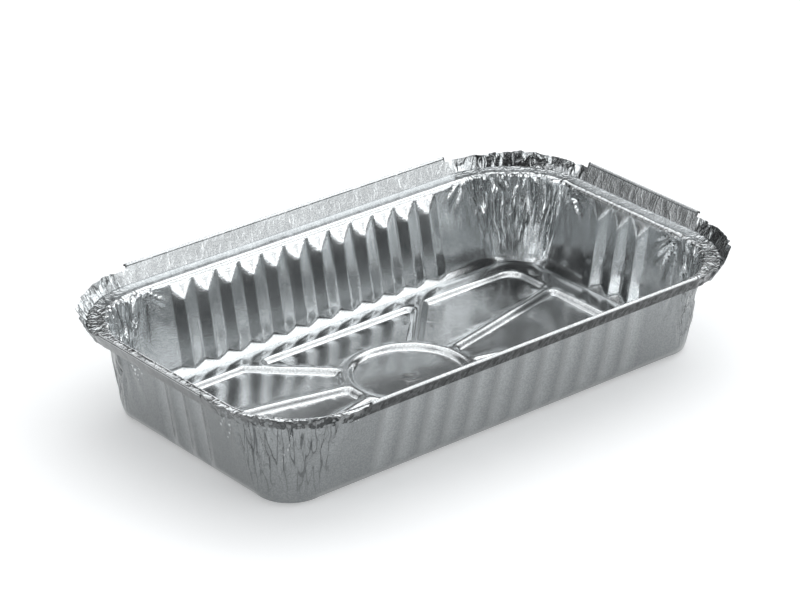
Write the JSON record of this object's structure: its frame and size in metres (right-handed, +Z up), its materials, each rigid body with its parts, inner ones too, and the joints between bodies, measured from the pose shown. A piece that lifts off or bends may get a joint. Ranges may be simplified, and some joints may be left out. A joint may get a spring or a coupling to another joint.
{
  "type": "aluminium foil tray",
  "caption": "Oblong aluminium foil food tray with fluted sloping walls, pleated corners, a flat lid ledge, an upright hemmed rim and a ribbed floor with a round ring.",
  "frame": {"origin": "middle of the tray on the plane it rests on", "axes": "+X along the tray's length, +Y across it, +Z up"},
  "size_m": [0.2522, 0.1532, 0.047],
  "materials": {
    "foil": "bright rolled foil, satin on the floor"
  },
  "bodies": {
    "root": {"foil_tray": "foil"}
  },
  "joints": []
}
